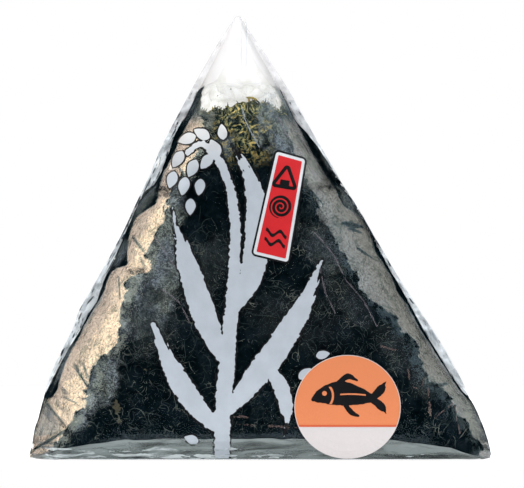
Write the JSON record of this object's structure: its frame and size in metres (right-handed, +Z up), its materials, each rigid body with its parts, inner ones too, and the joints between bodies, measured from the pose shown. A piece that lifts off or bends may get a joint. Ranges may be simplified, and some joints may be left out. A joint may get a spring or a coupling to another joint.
{
  "type": "onigiri rice ball",
  "caption": "Triangular rice ball with a dark seaweed sheet, sealed in clear folded film with a peak and two ears, printed on the front and closed with a round paper label.",
  "frame": {"origin": "middle of the base, on the surface the pack stands on", "axes": "+X runs along the base from ear to ear, -Y is the printed front, +Z is up to the film's peak"},
  "size_m": [0.1, 0.0351, 0.0953],
  "materials": {
    "wrapped_ball": "clear film drawn tight over dark seaweed",
    "label_paper": "satin printed paper",
    "clear_film": "clear glossy film",
    "seaweed": "toasted dry seaweed, slightly shiny",
    "rice": "moist cooked rice",
    "print_white": "white ink on film",
    "print_black": "black ink on film",
    "print_red": "red ink on film"
  },
  "bodies": {
    "root": {"film_pack": "wrapped_ball", "flavour_label": "label_paper"}
  },
  "joints": []
}
